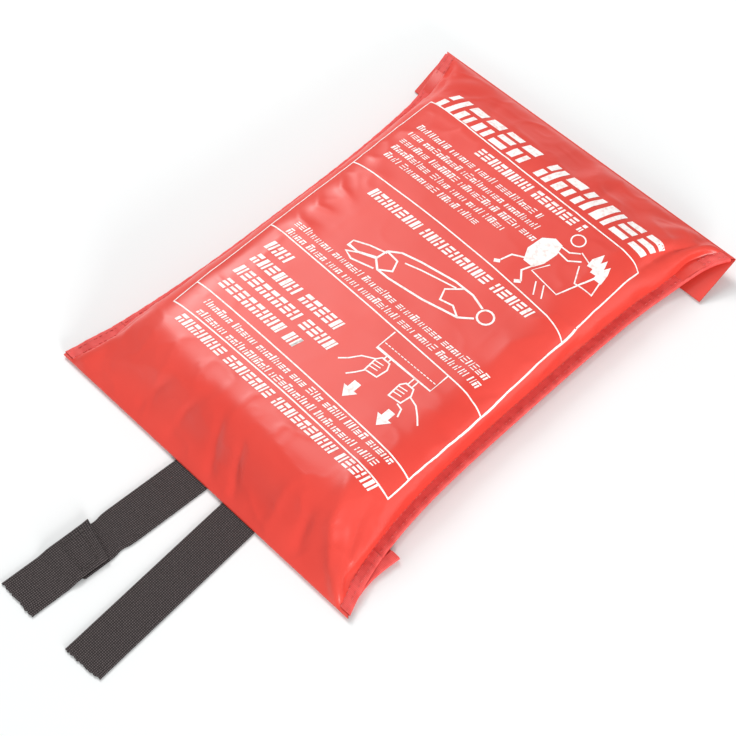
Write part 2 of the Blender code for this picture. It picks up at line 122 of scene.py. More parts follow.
turn, height = math.radians(CAMERA_TURN_DEG), math.radians(CAMERA_HEIGHT_DEG)
back = Vector((math.sin(turn) * math.cos(height), -math.cos(turn) * math.cos(height), math.sin(height)))
camera_data = bpy.data.cameras.new("camera")
camera_data.lens = LENS_MM
camera_data.sensor_width = 36
camera_data.clip_start = 0.05
camera = bpy.data.objects.new("camera", camera_data)
bpy.context.scene.collection.objects.link(camera)
camera.location = TARGET + back * CAMERA_DISTANCE
camera.rotation_euler = back.to_track_quat("Z", "Y").to_euler()
bpy.context.scene.camera = camera

TABLE = 3.0
floor_mesh = bpy.data.meshes.new("table_top")
floor_mesh.from_pydata([(-TABLE, -TABLE, 0), (TABLE, -TABLE, 0), (TABLE, TABLE, 0), (-TABLE, TABLE, 0)], [],
                       [(0, 1, 2, 3)])
# Matt white laminate: a slightly cool white with no gloss, so that it takes only the soft shadow.
laminate, shader, add, paint, emboss = new_material("matt_white_laminate")
shader.inputs["Base Color"].default_value = linear("#F5F7F7")
shader.inputs["Roughness"].default_value = 0.9
floor = link_piece("table_top", floor_mesh, laminate, smooth=False)

world = bpy.data.worlds.new("studio")
world.use_nodes = True
room = world.node_tree.nodes["Background"]
room.inputs["Color"].default_value = (1, 1, 1, 1)
room.inputs["Strength"].default_value = 0.49
bpy.context.scene.world = world
bpy.context.scene.view_settings.view_transform = "Standard"


def soft_lamp(name, place, aim, size, watts):
    lamp = bpy.data.lights.new(name, "AREA")
    lamp.shape = "DISK"
    lamp.size = size
    lamp.energy = watts
    obj = bpy.data.objects.new(name, lamp)
    obj.location = place
    obj.rotation_euler = (Vector(place) - Vector(aim)).to_track_quat("Z", "Y").to_euler()
    bpy.context.scene.collection.objects.link(obj)


soft_lamp("key_lamp", (-1.25, 0.45, 1.20), (0, 0, 0), 0.5, 11)
soft_lamp("sheen_lamp", (-0.70, 0.34, 1.27), (-0.03, -0.09, 0), 0.8, 6.5)
soft_lamp("fill_lamp", (1.35, -0.70, 0.34), (0, 0, 0.02), 0.6, 19)

# ---------------------------------------------------------------------------
# Folded blanket: plain-weave glass cloth, 0.45 mm thick, cut 1.0 by 1.0 m with
# the edges turned. It is pleated to the pouch's width in six layers, then
# folded over four times, and both pull tapes are sewn to its front edge.
GLASS_CLOTH = 0.00045
LAYERS_ACROSS = 6
FOLDS_ALONG = 4
SIDE_CLEARANCE = 0.0006
END_CLEARANCE = 0.0004
PRESSED = 0.30
PACK_LOW, PACK_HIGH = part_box("folded_blanket")


def mix(start, stop, share):
    return start + (stop - start) * share


def smooth_step(value, low, high):
    """0 below low, 1 above high, and a smooth rise between them."""
    share = np.clip((value - low) / (high - low), 0, 1)
    return share * share * (3 - 2 * share)


def zigzag(turns, pitch, samples, bend_samples):
    """Share, offset, bend and direction along a pleated line: straight runs and half-circle turns."""
    points = []
    for run in range(turns):
        way = 1 - run % 2 * 2
        for k in range(samples + 1):
            share = k / samples
            points.append((share if way > 0 else 1 - share, run * pitch, 0.0, way))
        if run < turns - 1:
            for k in range(1, bend_samples):
                points.append((max(way, 0), run * pitch, math.pi * k / bend_samples, way))
    return points


def blanket_points():
    """The folded cloth as a grid: the pleated section, carried round the folds."""
    low, high = np.array(PACK_LOW), np.array(PACK_HIGH)
    block = (high[2] - low[2]) / FOLDS_ALONG
    pitch = block / LAYERS_ACROSS
    radius = block / 2
    inner_x = (high[0] - low[0]) / 2 - pitch / 2 - SIDE_CLEARANCE
    inner_y = (high[1] - low[1]) / 2 - block - END_CLEARANCE
    middle_y = (high[1] + low[1]) / 2
    across = []
    for share, offset, turn, way in zigzag(LAYERS_ACROSS, pitch, 10, 4):
        x = (share * 2 - 1) * inner_x + way * math.sin(turn) * pitch / 2
        z = offset + pitch / 2 * (1 - math.cos(turn))
        across.append((x, z - block / 2 + pitch / 2))
    rows = []
    for share, offset, turn, way in zigzag(FOLDS_ALONG, block, 12, 8):
        line = []
        for x, lift in across:
            above = lift * way
            y = (share * 2 - 1) * inner_y + way * math.sin(turn) * (radius - above)
            z = offset + radius
            z = z + radius - math.cos(turn) * (radius - above) if turn else z + above
            line.append((x, middle_y + y, low[2] + z))
        rows.append(line)
    return np.array(rows)


def normals_of(points):
    """The unit normal at each point of a grid whose columns run to +X and rows to +Y on an upper face."""
    along = np.gradient(points, axis=0)
    across = np.gradient(points, axis=1)
    normal = np.cross(across, along)
    return normal / np.maximum(np.linalg.norm(normal, axis=2, keepdims=True), 1e-12)


def summed(steps):
    """The length so far at each point of a line, from the steps between its points."""
    return np.concatenate([[0], np.cumsum(steps)])


def cloth_sheet(name, points, thickness, material, keep=None, normals=None, cut=None, smooth_normals=True):
    """A closed thin sheet from a grid of points: an outer and an inner face, and a rim."""
    rows, columns = points.shape[:2]
    if normals is None:
        normals = normals_of(points)
    index = np.arange(rows * columns).reshape(rows, columns)
    quads = np.stack([index[:-1, :-1], index[:-1, 1:], index[1:, 1:], index[1:, :-1]], axis=-1)
    quads = quads.reshape(-1, 4) if keep is None else quads[keep].reshape(-1, 4)
    edges = np.concatenate([quads[:, [k, (k + 1) % 4]] for k in range(4)])
    ordered = np.sort(edges, axis=1)
    code = ordered[:, 0] * (rows * columns) + ordered[:, 1]
    first, counts = np.unique(code, return_index=True, return_counts=True)[1:]
    border = edges[first[counts == 1]]
    total = rows * columns
    rim = np.stack([border[:, 1], border[:, 0], border[:, 0] + total, border[:, 1] + total], axis=1)
    faces = np.concatenate([quads, quads[:, ::-1] + total, rim])
    flat = points.reshape(-1, 3)
    out = normals.reshape(-1, 3)
    vertices = np.concatenate([flat + out * thickness / 2, flat - out * thickness / 2])
    if cut is None:
        steps = np.linalg.norm(np.diff(points, axis=1), axis=2).mean(axis=0)
        lengths = np.linalg.norm(np.diff(points, axis=0), axis=2).mean(axis=1)
        cut_u, cut_v = np.meshgrid(summed(steps), summed(lengths))
    else:
        cut_u, cut_v = cut
    used, faces = np.unique(faces, return_inverse=True)
    faces = faces.reshape(-1, 4)
    uv = np.concatenate([np.stack([cut_u, cut_v], axis=-1).reshape(-1, 2)] * 2)[used]
    mesh = bpy.data.meshes.new(name)
    mesh.from_pydata(vertices[used].tolist(), [], faces.tolist())
    layer = mesh.uv_layers.new(name="cut")
    loops = np.zeros(len(mesh.loops), np.int32)
    mesh.loops.foreach_get("vertex_index", loops)
    layer.data.foreach_set("uv", uv[loops].astype(np.float32).ravel())
    obj = link_piece(name, mesh, material)
    if smooth_normals:
        facing = np.concatenate([out, -out])[used]
        mesh.normals_split_custom_set_from_vertices(facing.tolist())
    return obj


# Glass cloth is a plain weave of flat shiny yarns, about 12 to the centimetre, drawn
# at 1.6 mm: off-white, with a silky gloss and dark pin holes between the yarns.
glass_cloth, shader, add, paint, emboss = new_material("woven_glass_cloth")
warp = add("ShaderNodeTexWave", {"bands_direction": "X", "Scale": 196.0, "Distortion": 0.6}, Vector="cut")
weft = add("ShaderNodeTexWave", {"bands_direction": "Y", "Scale": 196.0, "Distortion": 0.6}, Vector="cut")
yarns = add("ShaderNodeMath", {"operation": "MULTIPLY"}, i0=warp, i1=weft)
paint(yarns, (0.0, "#B9B3A4"), (0.35, "#DAD6CA"), (1.0, "#EFECE3"))
emboss(0.35, 0.0003, yarns)
shader.inputs["Roughness"].default_value = 0.55
shader.inputs["Sheen Weight"].default_value = 0.3

shape = blanket_points()
# The pouch presses the pack's long edges and its ends together.
edge = np.maximum(smooth_step(np.abs(shape[:, :, 0]), 0.062, 0.0815),
                  smooth_step(np.abs(shape[:, :, 1] - (PACK_LOW[1] + PACK_HIGH[1]) / 2), 0.100, 0.1217))
centre_z = PACK_LOW[2] + 0.010
shape[:, :, 2] = centre_z + (shape[:, :, 2] - centre_z) * (1 - PRESSED * edge)
blanket = cloth_sheet("glass_cloth_blanket", shape, GLASS_CLOTH, glass_cloth, smooth_normals=False)
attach(blanket, "blanket")
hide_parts("folded_blanket")

# ---------------------------------------------------------------------------
# Pouch front: one rectangle of PVC-coated polyester, 228 mm wide, sewn to the
# back along both sides over a full pack, so that its sides pull in and its
# corners stay wide. It runs down over the mouth and folds under as the closure.
FABRIC = 0.0006
HALF_LENGTH = 0.156
CUT_HALF_WIDTH = 0.114
CUT_LENGTH = 0.3240
WAIST_HALF_WIDTH = 0.097
SEAM_MARGIN = 0.0065
SEAM_Z = 0.0043
FACE_Z = 0.0306
FOLD_Y, FOLD_Z = -0.1555, 0.0026
HEADER_Y, HEADER_Z = 0.1550, 0.0144
MOUTH_Y = -0.120
# What the cloth lies on: the filling as a box with round edges, lower at its soft sides, and the table
FILLING_Y = -0.00375
FILLING_LOW_Z, FILLING_TOP_Z = 0.004, 0.0303
FILLING_HALF_X, FILLING_HALF_Y = 0.0823, 0.1224
FILLING_ROUND = 0.0085
SOFT_SIDE = 0.0026
LOWEST_Z = 0.0014
# How it is settled: grid, slack taken up by the filling, passes, pressure, stiffness in shear and bending
SPACING = 0.00165
TAKEN_UP = 0.004
PASSES, QUICK_PASSES = 420, 60
PRESSURE = 0.000006
SHEAR = 0.35
BENDING = 0.22


def edge_x(side, y):
    """The outer edge of a side seam, drawn in at the waist, more suddenly on the right near the header."""
    power = 2.5 if side < 0 else 4.2 + 2.8 * smooth_step(y, -0.04, 0.04)
    half = mix(WAIST_HALF_WIDTH, CUT_HALF_WIDTH, np.abs(y / HALF_LENGTH) ** power)
    return side * half - 0.0022 * np.clip(1 - (y / 0.13) ** 2, 0, 1)


def header_rise(y):
    return smooth_step(y, 0.112, 0.1545)


def seam_z(side, y):
    """Height of a side seam: near the table, the left one lifted, up to the header and down to the fold."""
    low = SEAM_Z + (0.0035 * np.clip(1 - (y / 0.125) ** 2, 0, 1) if side < 0 else 0 * y)
    low = low + (FOLD_Z - SEAM_Z) * smooth_step(-y, 0.136, 0.155)
    return mix(low, HEADER_Z, header_rise(y))


def pack_push(points, pack_top):
    """Moves points that are inside the rounded filling out to its surface."""
    flat = np.zeros_like(pack_top)
    centre = np.stack([flat, flat + FILLING_Y, (FILLING_LOW_Z + pack_top) / 2], axis=-1)
    half = np.stack([flat + FILLING_HALF_X, flat + FILLING_HALF_Y, (pack_top - FILLING_LOW_Z) / 2], axis=-1)
    radius = FILLING_ROUND
    local = points - centre
    q = np.abs(local) - (half - radius)
    outside = np.maximum(q, 0)
    length = np.linalg.norm(outside, axis=2)
    depth = length + np.minimum(q.max(axis=2), 0) - radius
    inside = depth < 0
    axis = q.argmax(axis=2)
    face = np.zeros_like(points)
    np.put_along_axis(face, axis[..., None], 1.0, axis=2)
    direction = np.where((length > 1e-9)[..., None], outside / np.maximum(length, 1e-9)[..., None], face)
    direction *= np.sign(local)
    points[inside] -= (depth[..., None] * direction)[inside]


def smooth_noise(rows, columns, cells, seed):
    """Smooth random values from -1 to 1 over a grid, cells of them along its longer side."""
    random = np.random.default_rng(seed)
    grid_rows = max(3, int(cells * rows / max(rows, columns)) + 3)
    grid_columns = max(3, int(cells * columns / max(rows, columns)) + 3)
    coarse = random.uniform(-1, 1, (grid_rows, grid_columns))
    v = np.linspace(0, grid_rows - 1.001, rows)
    u = np.linspace(0, grid_columns - 1.001, columns)
    i, j = v.astype(int), u.astype(int)
    fv = (v - i)[:, None]
    fu = (u - j)[None, :]
    fv, fu = fv * fv * (3 - 2 * fv), fu * fu * (3 - 2 * fu)
    top = coarse[i][:, j] * (1 - fu) + coarse[i][:, j + 1] * fu
    low = coarse[i + 1][:, j] * (1 - fu) + coarse[i + 1][:, j + 1] * fu
    return top * (1 - fv) + low * fv


def pull_together(points, free, first, second, rest, strength):
    """One pass that brings pairs of points to their distance in the flat cut."""
    gap = points[second] - points[first]
    length = np.linalg.norm(gap, axis=2, keepdims=True)
    weight = free[first] + free[second]
    move = gap * (strength * (length - rest) / np.maximum(length, 1e-9) / np.maximum(weight, 1e-9))
    points[first] += move * free[first]
    points[second] -= move * free[second]


def every_second(count, start):
    """Every second place from start, and the place after each."""
    pairs = (count - start) // 2
    return slice(start, start + 2 * pairs, 2), slice(start + 1, start + 2 * pairs + 1, 2)


def settle(points, free, step_u, step_v, passes, pack_top):
    """Settles a sewn panel over the pack: even cloth that keeps its cut's lengths, resists
    bending, is pressed out by the filling and can't pass through pack or table."""
    all_of, left, right = slice(None), slice(0, -1), slice(1, None)
    diagonal = np.hypot(step_u, step_v)
    groups = []
    for start in (0, 1):
        near, far = every_second(points.shape[1], start)
        groups.append(((all_of, near), (all_of, far), step_u, 1.0))
        near, far = every_second(points.shape[0], start)
        groups.append(((near, all_of), (far, all_of), step_v, 1.0))
        groups.append(((near, left), (far, right), diagonal[near], SHEAR))
        groups.append(((near, right), (far, left), diagonal[near], SHEAR))
    for turn in range(passes):
        points += free * normals_of(points) * (PRESSURE * (1 - 0.6 * turn / passes))
        for first, second, rest, strength in groups:
            pull_together(points, free, first, second, rest, strength)
        for axis in (0, 1):
            inner, before, after = ((cut, all_of) if axis == 0 else (all_of, cut)
                                    for cut in (slice(1, -1), slice(0, -2), slice(2, None)))
            curve = (points[before] + points[after]) / 2 - points[inner]
            move = np.zeros_like(points)
            move[inner] += curve
            move[before] -= curve / 2
            move[after] -= curve / 2
            points += free * move * BENDING
        pack_push(points, pack_top)
        points[:, :, 2] = np.maximum(points[:, :, 2], LOWEST_Z)
    return points


columns = 2 * int(round(CUT_HALF_WIDTH / SPACING)) + 1
rows = int(round(CUT_LENGTH / SPACING)) + 1
cut_u, cut_v = np.meshgrid(np.linspace(-CUT_HALF_WIDTH, CUT_HALF_WIDTH, columns),
                           np.linspace(0, CUT_LENGTH, rows))
step_u = 2 * CUT_HALF_WIDTH / (columns - 1)
step_v = CUT_LENGTH / (rows - 1)
# Middle line, from the bottom fold over the mouth and the pack to the header fold
profile = np.array([
    (FOLD_Y, FOLD_Z), (-0.1520, 0.0030), (-0.1460, 0.0068), (-0.1385, 0.0150), (-0.1315, 0.0235), (-0.1265, 0.0282),
    (MOUTH_Y, FACE_Z), (0.1080, FACE_Z), (0.1170, 0.0295), (0.1260, 0.0262), (0.1400, 0.0200), (HEADER_Y, HEADER_Z)])
along = summed(np.linalg.norm(np.diff(profile, axis=0), axis=1))
share_v = cut_v / CUT_LENGTH * along[-1]
middle_y = np.interp(share_v, along, profile[:, 0])
middle_z = np.interp(share_v, along, profile[:, 1])
seam_y = FOLD_Y + (HEADER_Y - FOLD_Y) * cut_v / CUT_LENGTH
inner_u = CUT_HALF_WIDTH - SEAM_MARGIN
share_u = np.abs(cut_u) / inner_u
sides = np.where(cut_u < 0, -1, 1)
towards_seam = smooth_step(share_u, 0.55, 1.0)
place_y = mix(middle_y, seam_y, towards_seam)
edge_here = np.where(cut_u < 0, edge_x(-1, place_y), edge_x(1, place_y))
low_here = np.where(cut_u < 0, seam_z(-1, place_y), seam_z(1, place_y))
inner_edge = np.abs(edge_here) - SEAM_MARGIN
# Across: flat over the pack, round its edge and down to the seam, at even steps of cloth
section_x = np.array([0, 0.42, 0.70, 0.82, 0.895, 0.945, 0.975, 0.993, 1.0])
section_z = np.array([1, 0.995, 0.985, 0.965, 0.88, 0.70, 0.36, 0.09, 0.0])
place_x = sides * (np.abs(edge_here) - (CUT_HALF_WIDTH - np.abs(cut_u)))
place_z = low_here.copy()
for row in range(rows):
    for half in (cut_u[row] < 0, cut_u[row] >= 0):
        inside = half & (share_u[row] <= 1)
        reach = inner_edge[row][inside].mean()
        climb = (middle_z[row] - low_here[row])[inside].mean()
        lengths = np.hypot(np.diff(section_x) * reach, np.diff(section_z) * climb)
        path = summed(lengths)
        walked = share_u[row][inside] * path[-1]
        place_x[row][inside] = sides[row][inside] * np.interp(walked, path, section_x * reach)
        place_z[row][inside] = low_here[row][inside] + np.interp(walked, path, section_z * climb)
skin = np.stack([place_x, place_y, place_z], axis=-1)
free = np.ones((rows, columns, 1))
free[share_u >= 0.9999] = 0
free[0] = 0
free[-1] = 0
ripple = smooth_noise(rows, columns, 26, 5)
skin[:, :, 2] += (0.0012 * ripple * free[:, :, 0]) * smooth_step(0.0300 - middle_z, -0.002, 0.006)
# The layers under the face lie unevenly: shallow hollows along the right and near the corners
x, y = skin[:, :, 0], skin[:, :, 1]
dents = 0.0006 * smooth_noise(rows, columns, 9, 11)
dents -= 0.0013 * np.exp(-((x - 0.060) / 0.009) ** 2) * smooth_step(y, -0.07, -0.02)
dents -= 0.0010 * np.exp(-((x + 0.062) / 0.010) ** 2 - ((y + 0.005) / 0.035) ** 2)
far_out = np.maximum(np.maximum(smooth_step(x, 0.050, 0.083), 0.6 * smooth_step(-x, 0.070, 0.083)),
                     smooth_step(y, 0.088, 0.119))
pack_top = FILLING_TOP_Z + dents - SOFT_SIDE * far_out
# Half way up the filling has taken all the slack out of the width
slack = TAKEN_UP * smooth_step(0.150 - np.abs(middle_y[:, :1] + 0.004), 0.0, 0.060)
rest_u = (step_u * (1 - slack))[:, :, None]
skin = settle(skin, free, rest_u, step_v, PASSES, pack_top)
# Creases of the full pouch: (x, y) in mm along each, half width in mm, height in mm
CREASES = (
    (((108, -153), (91, -145), (77, -131), (71, -110)), 3.6, 2.4),
    (((105, -150), (95, -136), (87, -120), (82, -104)), 3.4, -2.6),
    (((102, -142), (97, -126), (94, -108)), 2.4, 1.2),
    (((72, -152), (67, -144), (64, -132)), 4.0, -1.9),
    (((48, -152), (46, -138), (48, -126)), 4.4, 1.2),
    (((4, -152), (-3, -141), (-8, -128)), 3.4, -2.0),
    (((23, -152), (15, -142), (10, -130)), 3.0, -1.9),
    (((-31, -151), (-29, -138), (-22, -126)), 4.2, -1.8),
    (((-56, -151), (-52, -140), (-44, -128)), 4.0, -1.3),
    (((-113, -154), (-90, -143), (-64, -133), (-30, -126)), 4.6, 1.6),
    (((-108, -150), (-96, -128), (-90, -108)), 3.0, -1.9),
    (((-98, -118), (-93, -98), (-91, -80)), 2.2, -1.2),
    (((85, 98), (86, 114), (88, 130), (96, 149)), 3.0, -3.6),
    (((90, 104), (92, 120), (95, 134)), 2.2, 1.3),
    (((78, 108), (81, 124), (88, 149)), 4.0, 1.6),
    (((91, 60), (87, 48), (86, 30)), 2.4, -1.2),
    (((-112, 150), (-99, 134), (-90, 116)), 3.0, 1.7),
    (((-103, 148), (-94, 130), (-88, 108)), 2.8, -1.9),
    (((-60, 150), (-56, 134), (-50, 122)), 4.0, -1.0),
    (((36, 151), (34, 134), (38, 120)), 4.0, -0.9),
    (((-80, 30), (-72, 22), (-62, 20)), 2.6, 0.9),
    (((-80, 10), (-72, 3), (-62, 6)), 2.8, 0.9),
    (((-82, -6), (-72, -11), (-56, -13)), 3.0, 0.8),
    (((86, -10), (79, -26), (82, -44)), 3.0, -0.9),
    (((80, 34), (70, 12), (72, -6)), 4.0, 0.8),
    (((87, -52), (82, -64), (84, -78)), 3.0, 1.0),
    (((64, -96), (66, -108), (72, -118)), 4.0, 1.0))
flat_place = skin[:, :, :2] * 1000
crease_lift = np.zeros(skin.shape[:2])
for line, half_width, height in CREASES:
    nearest = np.full(skin.shape[:2], 1e9)
    fade = np.zeros(skin.shape[:2])
    length = sum(math.dist(a, b) for a, b in zip(line, line[1:]))
    total = 0.0
    for a, b in zip(line, line[1:]):
        a, b = np.array(a, float), np.array(b, float)
        along_line = np.clip(((flat_place - a) @ (b - a)) / ((b - a) @ (b - a)), 0, 1)
        away = np.linalg.norm(flat_place - a - along_line[..., None] * (b - a), axis=2)
        share = (total + along_line * math.dist(a, b)) / length
        fade = np.where(away < nearest, np.sin(np.pi * np.clip(share * 0.9 + 0.05, 0, 1)) ** 0.7, fade)
        nearest = np.minimum(nearest, away)
        total += math.dist(a, b)
    crease_lift += height / 1000 * np.exp(-np.abs(nearest / half_width) ** 1.5) * fade
# Fine crumples, mostly towards the edges, and none of it on the seams
crumple = 0.0005 * (1 - np.abs(smooth_noise(rows, columns, 17, 21))) ** 5
crumple += 0.0002 * (1 - np.abs(smooth_noise(rows, columns, 30, 8))) ** 6
edge_share = np.maximum(smooth_step(np.abs(skin[:, :, 0]), 0.045, 0.080),
                        smooth_step(np.abs(skin[:, :, 1] + 0.004), 0.085, 0.115))
crease_lift += crumple * (0.12 + 0.88 * edge_share)
hold = smooth_step(1 - share_u, 0.0, 0.03)
hold = hold * smooth_step(cut_v, 0, 0.006) * smooth_step(CUT_LENGTH - cut_v, 0, 0.006)
skin = skin + normals_of(skin) * (crease_lift * hold)[..., None]
skin_normals = normals_of(skin)

# PVC-coated polyester: a red film over a fine scrim, satin and slightly soft, which
# shows broad pale highlights, deeper red in creases and a faint grain.
coated, shader, add, paint, emboss = new_material("pvc_coated_polyester")
cloud = add("ShaderNodeTexNoise", {"Scale": 14.0, "Detail": 3.0, "Roughness": 0.55}, Vector="cut")
paint(cloud, (0.30, "#DE4034"), (0.70, "#E64B3F"))
grain = add("ShaderNodeTexNoise", {"Scale": 900.0, "Detail": 2.0}, Vector="cut")
warp = add("ShaderNodeTexWave", {"bands_direction": "X", "Scale": 260.0}, Vector="cut")
weft = add("ShaderNodeTexWave", {"bands_direction": "Y", "Scale": 260.0}, Vector="cut")
scrim = add("ShaderNodeMath", {"operation": "ADD"}, i0=warp, i1=weft)
emboss(0.12, 0.0002, add("ShaderNodeMath", {"operation": "MULTIPLY_ADD"}, i0=scrim, i1=0.35, i2=grain))
rough = add("ShaderNodeMapRange", {"To Min": 0.28, "To Max": 0.40}, Value=cloud)
coated.node_tree.links.new(rough.outputs["Result"], shader.inputs["Roughness"])
shader.inputs["Specular IOR Level"].default_value = 0.45

crease_row = int(np.argmin(np.abs(skin[:, columns // 2, 1] - MOUTH_Y)))
front = cloth_sheet("pouch_front", skin[crease_row:], FABRIC, coated, normals=skin_normals[crease_row:],
                    cut=(cut_u[crease_row:], cut_v[crease_row:]))
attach(front, "pouch")
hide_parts("front_panel")

# ---------------------------------------------------------------------------
# Closure: the lower end of the same cut. It slopes over the pack's end, folds at
# the bottom edge and lies under the mouth, cut away where the tapes come out.
FLAP_LENGTH = 0.043
FLAP_Z = 0.0012
FLAP_EDGE_HALF_WIDTH = 0.1085
NOTCH = (-0.028, 0.052)
UNDER_ROWS = 26
FOLD_STEPS = 4


def flap_half(y, side):
    """Half width of the closure under the mouth: its loose edges are drawn in, the left one out of sight."""
    share = np.clip((y + HALF_LENGTH) / FLAP_LENGTH, 0, 1)
    drawn_in = np.where(side < 0, 0.0075 * smooth_step(share, 0, 0.7), 0.0042 * np.sin(np.pi * share ** 0.8))
    return mix(CUT_HALF_WIDTH, FLAP_EDGE_HALF_WIDTH, share) - drawn_in


def flap_lift(x, y):
    """The loose corners curl up a little towards the flap's end."""
    return 0.0016 * smooth_step(np.abs(x), 0.088, 0.106) * smooth_step(y, -0.146, -0.120)


fold_radius = (FOLD_Z - FLAP_Z) / 2
under = []
shares = cut_u[0] / CUT_HALF_WIDTH
for row in range(UNDER_ROWS):
    y = -HALF_LENGTH + FLAP_LENGTH + (0.0008 - FLAP_LENGTH) * row / (UNDER_ROWS - 1)
    half = flap_half(y, shares)
    under.append(np.stack([shares * half, 0 * shares + y, FLAP_Z + flap_lift(shares * half, y)], axis=-1))
for step in range(1, FOLD_STEPS):
    angle = math.pi * step / FOLD_STEPS
    y = FOLD_Y + fold_radius - fold_radius * math.sin(angle) * 1.4
    z = FLAP_Z + fold_radius - fold_radius * math.cos(angle)
    under.append(np.stack([shares * CUT_HALF_WIDTH, 0 * shares + y, 0 * shares + z], axis=-1))
closure_points = np.concatenate([np.array(under), skin[:crease_row + 1]])
closure_normals = normals_of(closure_points)
closure_normals[-crease_row - 1 + 2:] = skin_normals[2:crease_row + 1]
middle_x = (closure_points[:-1, :-1, 0] + closure_points[1:, 1:, 0]) / 2
in_notch = (middle_x > NOTCH[0]) & (middle_x < NOTCH[1])
in_notch[UNDER_ROWS:] = False
extra = len(under)
closure_u = np.concatenate([np.repeat(cut_u[:1], extra, axis=0), cut_u[:crease_row + 1]])
closure_v = np.concatenate([np.repeat(-np.linspace(FLAP_LENGTH, 0.0005, extra)[:, None], columns, axis=1),
                            cut_v[:crease_row + 1]])
closure = cloth_sheet("closure_flap_cover", closure_points, FABRIC, coated, keep=~in_notch,
                      normals=closure_normals, cut=(closure_u, closure_v))
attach(closure, "closure")
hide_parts("closure_flap")

# ---------------------------------------------------------------------------
# Back of the pouch: a second rectangle of the same coated polyester, flat where
# the pouch rests, sewn into both side seams, open at the mouth.
BACK_FLAT_Z = FABRIC / 2
BACK_STEP_Z = 0.0034
BACK_ROWS, BACK_COLUMNS = 130, 110
back_y = np.linspace(-0.140, 0.150, BACK_ROWS)[:, None] + np.zeros((1, BACK_COLUMNS))
share = np.linspace(-1, 1, BACK_COLUMNS)[None, :] + np.zeros((BACK_ROWS, 1))
reach = np.where(share < 0, -edge_x(-1, back_y), edge_x(1, back_y))
back_x = share * reach
margin = reach - SEAM_MARGIN
curl = smooth_step(np.abs(back_x), np.minimum(0.084, margin - 0.006), margin)
step = smooth_step(-back_y, 0.104, 0.112)
side_low = np.where(share < 0, seam_z(-1, back_y), seam_z(1, back_y)) - (SEAM_Z - BACK_STEP_Z)
flat_z = BACK_FLAT_Z + 0.00025 * (1 + smooth_noise(BACK_ROWS, BACK_COLUMNS, 14, 3)) * (1 - curl)
back_z = mix(flat_z, BACK_STEP_Z, step)
back_z = np.maximum(mix(back_z, np.maximum(side_low, BACK_STEP_Z), curl), flat_z)
high = HEADER_Z - FABRIC - 0.0004
back_z = mix(back_z, high, header_rise(back_y))
back_points = np.stack([back_x, back_y, back_z], axis=-1)[:, ::-1]
back_cover = cloth_sheet("pouch_back", back_points, FABRIC, coated)
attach(back_cover, "pouch")
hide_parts("back_panel")

# ---------------------------------------------------------------------------
# Header: the upper end of the front, folded down behind the pouch, with both
# cut edges and two eyelet holes for hanging it on the wall.
HINGE = np.array([0, HALF_LENGTH - 0.0006, 0.0138])
DROP = math.radians(203)
FOLD_START = math.radians(120)
HEADER_FOLD_RADIUS = 0.0007
HEADER_HALF_WIDTH = 0.1145
FLAP_DOWN = 0.0315
EYELET_X = 0.075
EYELET_DOWN = 0.0160
HOLE_RADIUS = 0.0068
FOLD_ROWS, DOWN_ROWS = 6, 20
drop = np.array([0, math.cos(DROP), math.sin(DROP)])
out = np.array([0, -drop[2], drop[1]])
across = np.stack([shares * HEADER_HALF_WIDTH, 0 * shares, 0 * shares], axis=-1)
near_eyelet = smooth_step(np.abs(np.abs(shares * HEADER_HALF_WIDTH) - EYELET_X), 0.010, 0.020)
header_rows = [skin[-1]]
for row in range(1, FOLD_ROWS + 1):
    angle = mix(FOLD_START, math.atan2(out[2], out[1]), row / FOLD_ROWS)
    header_rows.append(HINGE + np.array([0, math.cos(angle), math.sin(angle)]) * HEADER_FOLD_RADIUS + across)
for row in range(1, DOWN_ROWS):
    far = FLAP_DOWN * row / (DOWN_ROWS - 1)
    wave = 0.0007 * np.sin(shares * 17 + 0.6) * (far / FLAP_DOWN) ** 1.5 * near_eyelet
    line = HINGE + out * HEADER_FOLD_RADIUS + drop * far + across
    header_rows.append(line + out * wave[:, None] * 0.6)
header_points = np.array(header_rows)
centre = (header_points[:-1, :-1] + header_points[1:, 1:]) / 2
hole = np.zeros(centre.shape[:2], bool)
for side in (-1, 1):
    eye = HINGE + out * HEADER_FOLD_RADIUS + drop * EYELET_DOWN + np.array([side * EYELET_X, 0, 0])
    hole |= np.linalg.norm(centre - eye, axis=2) < HOLE_RADIUS
header = cloth_sheet("header_flap_cover", header_points, FABRIC, coated, keep=~hole)
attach(header, "header")
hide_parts("header_flap")

# ---------------------------------------------------------------------------
# Side bindings: woven polyester tape folded round both panels' edges, from the
# mouth to the header fold, and the same tape round the closure's loose edges.
BINDING = 0.0005
BINDING_WIDTH = 0.0068

# Grosgrain polyester tape: a pinker, brighter red than the fabric, dull, with fine ribs
# across it every 0.9 mm and a slightly puckered surface along the stitching.
tape_red, shader, add, paint, emboss = new_material("woven_polyester_binding")
ribs = add("ShaderNodeTexWave", {"bands_direction": "Y", "Scale": 350.0, "Distortion": 0.8}, Vector="cut")
cloud = add("ShaderNodeTexNoise", {"Scale": 160.0, "Detail": 2.0}, Vector="cut")
tint = add("ShaderNodeMath", {"operation": "MULTIPLY_ADD"}, i0=ribs, i1=0.25, i2=cloud)
paint(tint, (0.30, "#D8433F"), (0.85, "#EE5F5A"))
emboss(0.35, 0.00025, tint)
shader.inputs["Roughness"].default_value = 0.62
shader.inputs["Specular IOR Level"].default_value = 0.35


